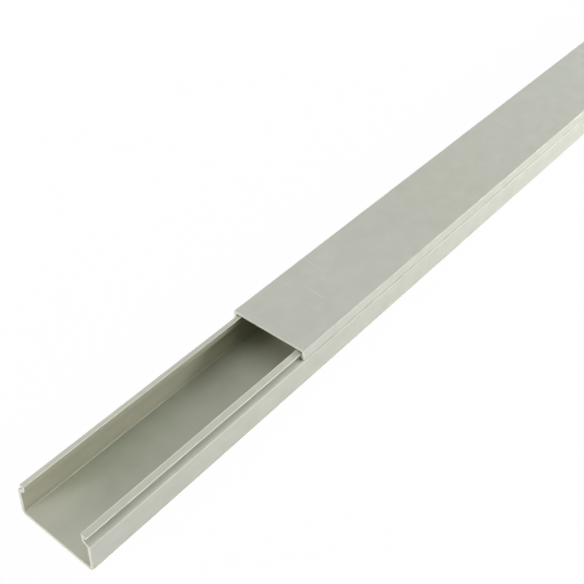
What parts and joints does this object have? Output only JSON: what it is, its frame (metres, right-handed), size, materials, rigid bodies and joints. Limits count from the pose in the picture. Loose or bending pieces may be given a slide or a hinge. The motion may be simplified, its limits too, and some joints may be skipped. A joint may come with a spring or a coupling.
{
  "type": "cable trunking",
  "caption": "Length of slim rectangular plastic cable trunking: an open U channel with inset rims and a clip-on lid that slides along it, drawn back to leave one end open.",
  "frame": {"origin": "centre of the base channel's flat back face, at the middle of its length", "axes": "+Y along the run, away from the end that the lid leaves open; +Z out of the wall or up off the floor, through the lid; +X across, to the right of someone who looks along +Y"},
  "size_m": [0.04, 1.12, 0.02],
  "materials": {
    "channel_plastic": "matt stone-grey extruded PVC, with pale sawn ends",
    "lid_plastic": "matt stone-grey extruded PVC, with pale sawn ends"
  },
  "bodies": {
    "channel": {"base_channel": "channel_plastic"},
    "lid": {"lid": "lid_plastic"}
  },
  "joints": [
    {"name": "lid_slide", "type": "slide", "parent": "channel", "child": "lid", "axis": [0, 1, 0], "range_m": [-0.12, 0.88]}
  ]
}
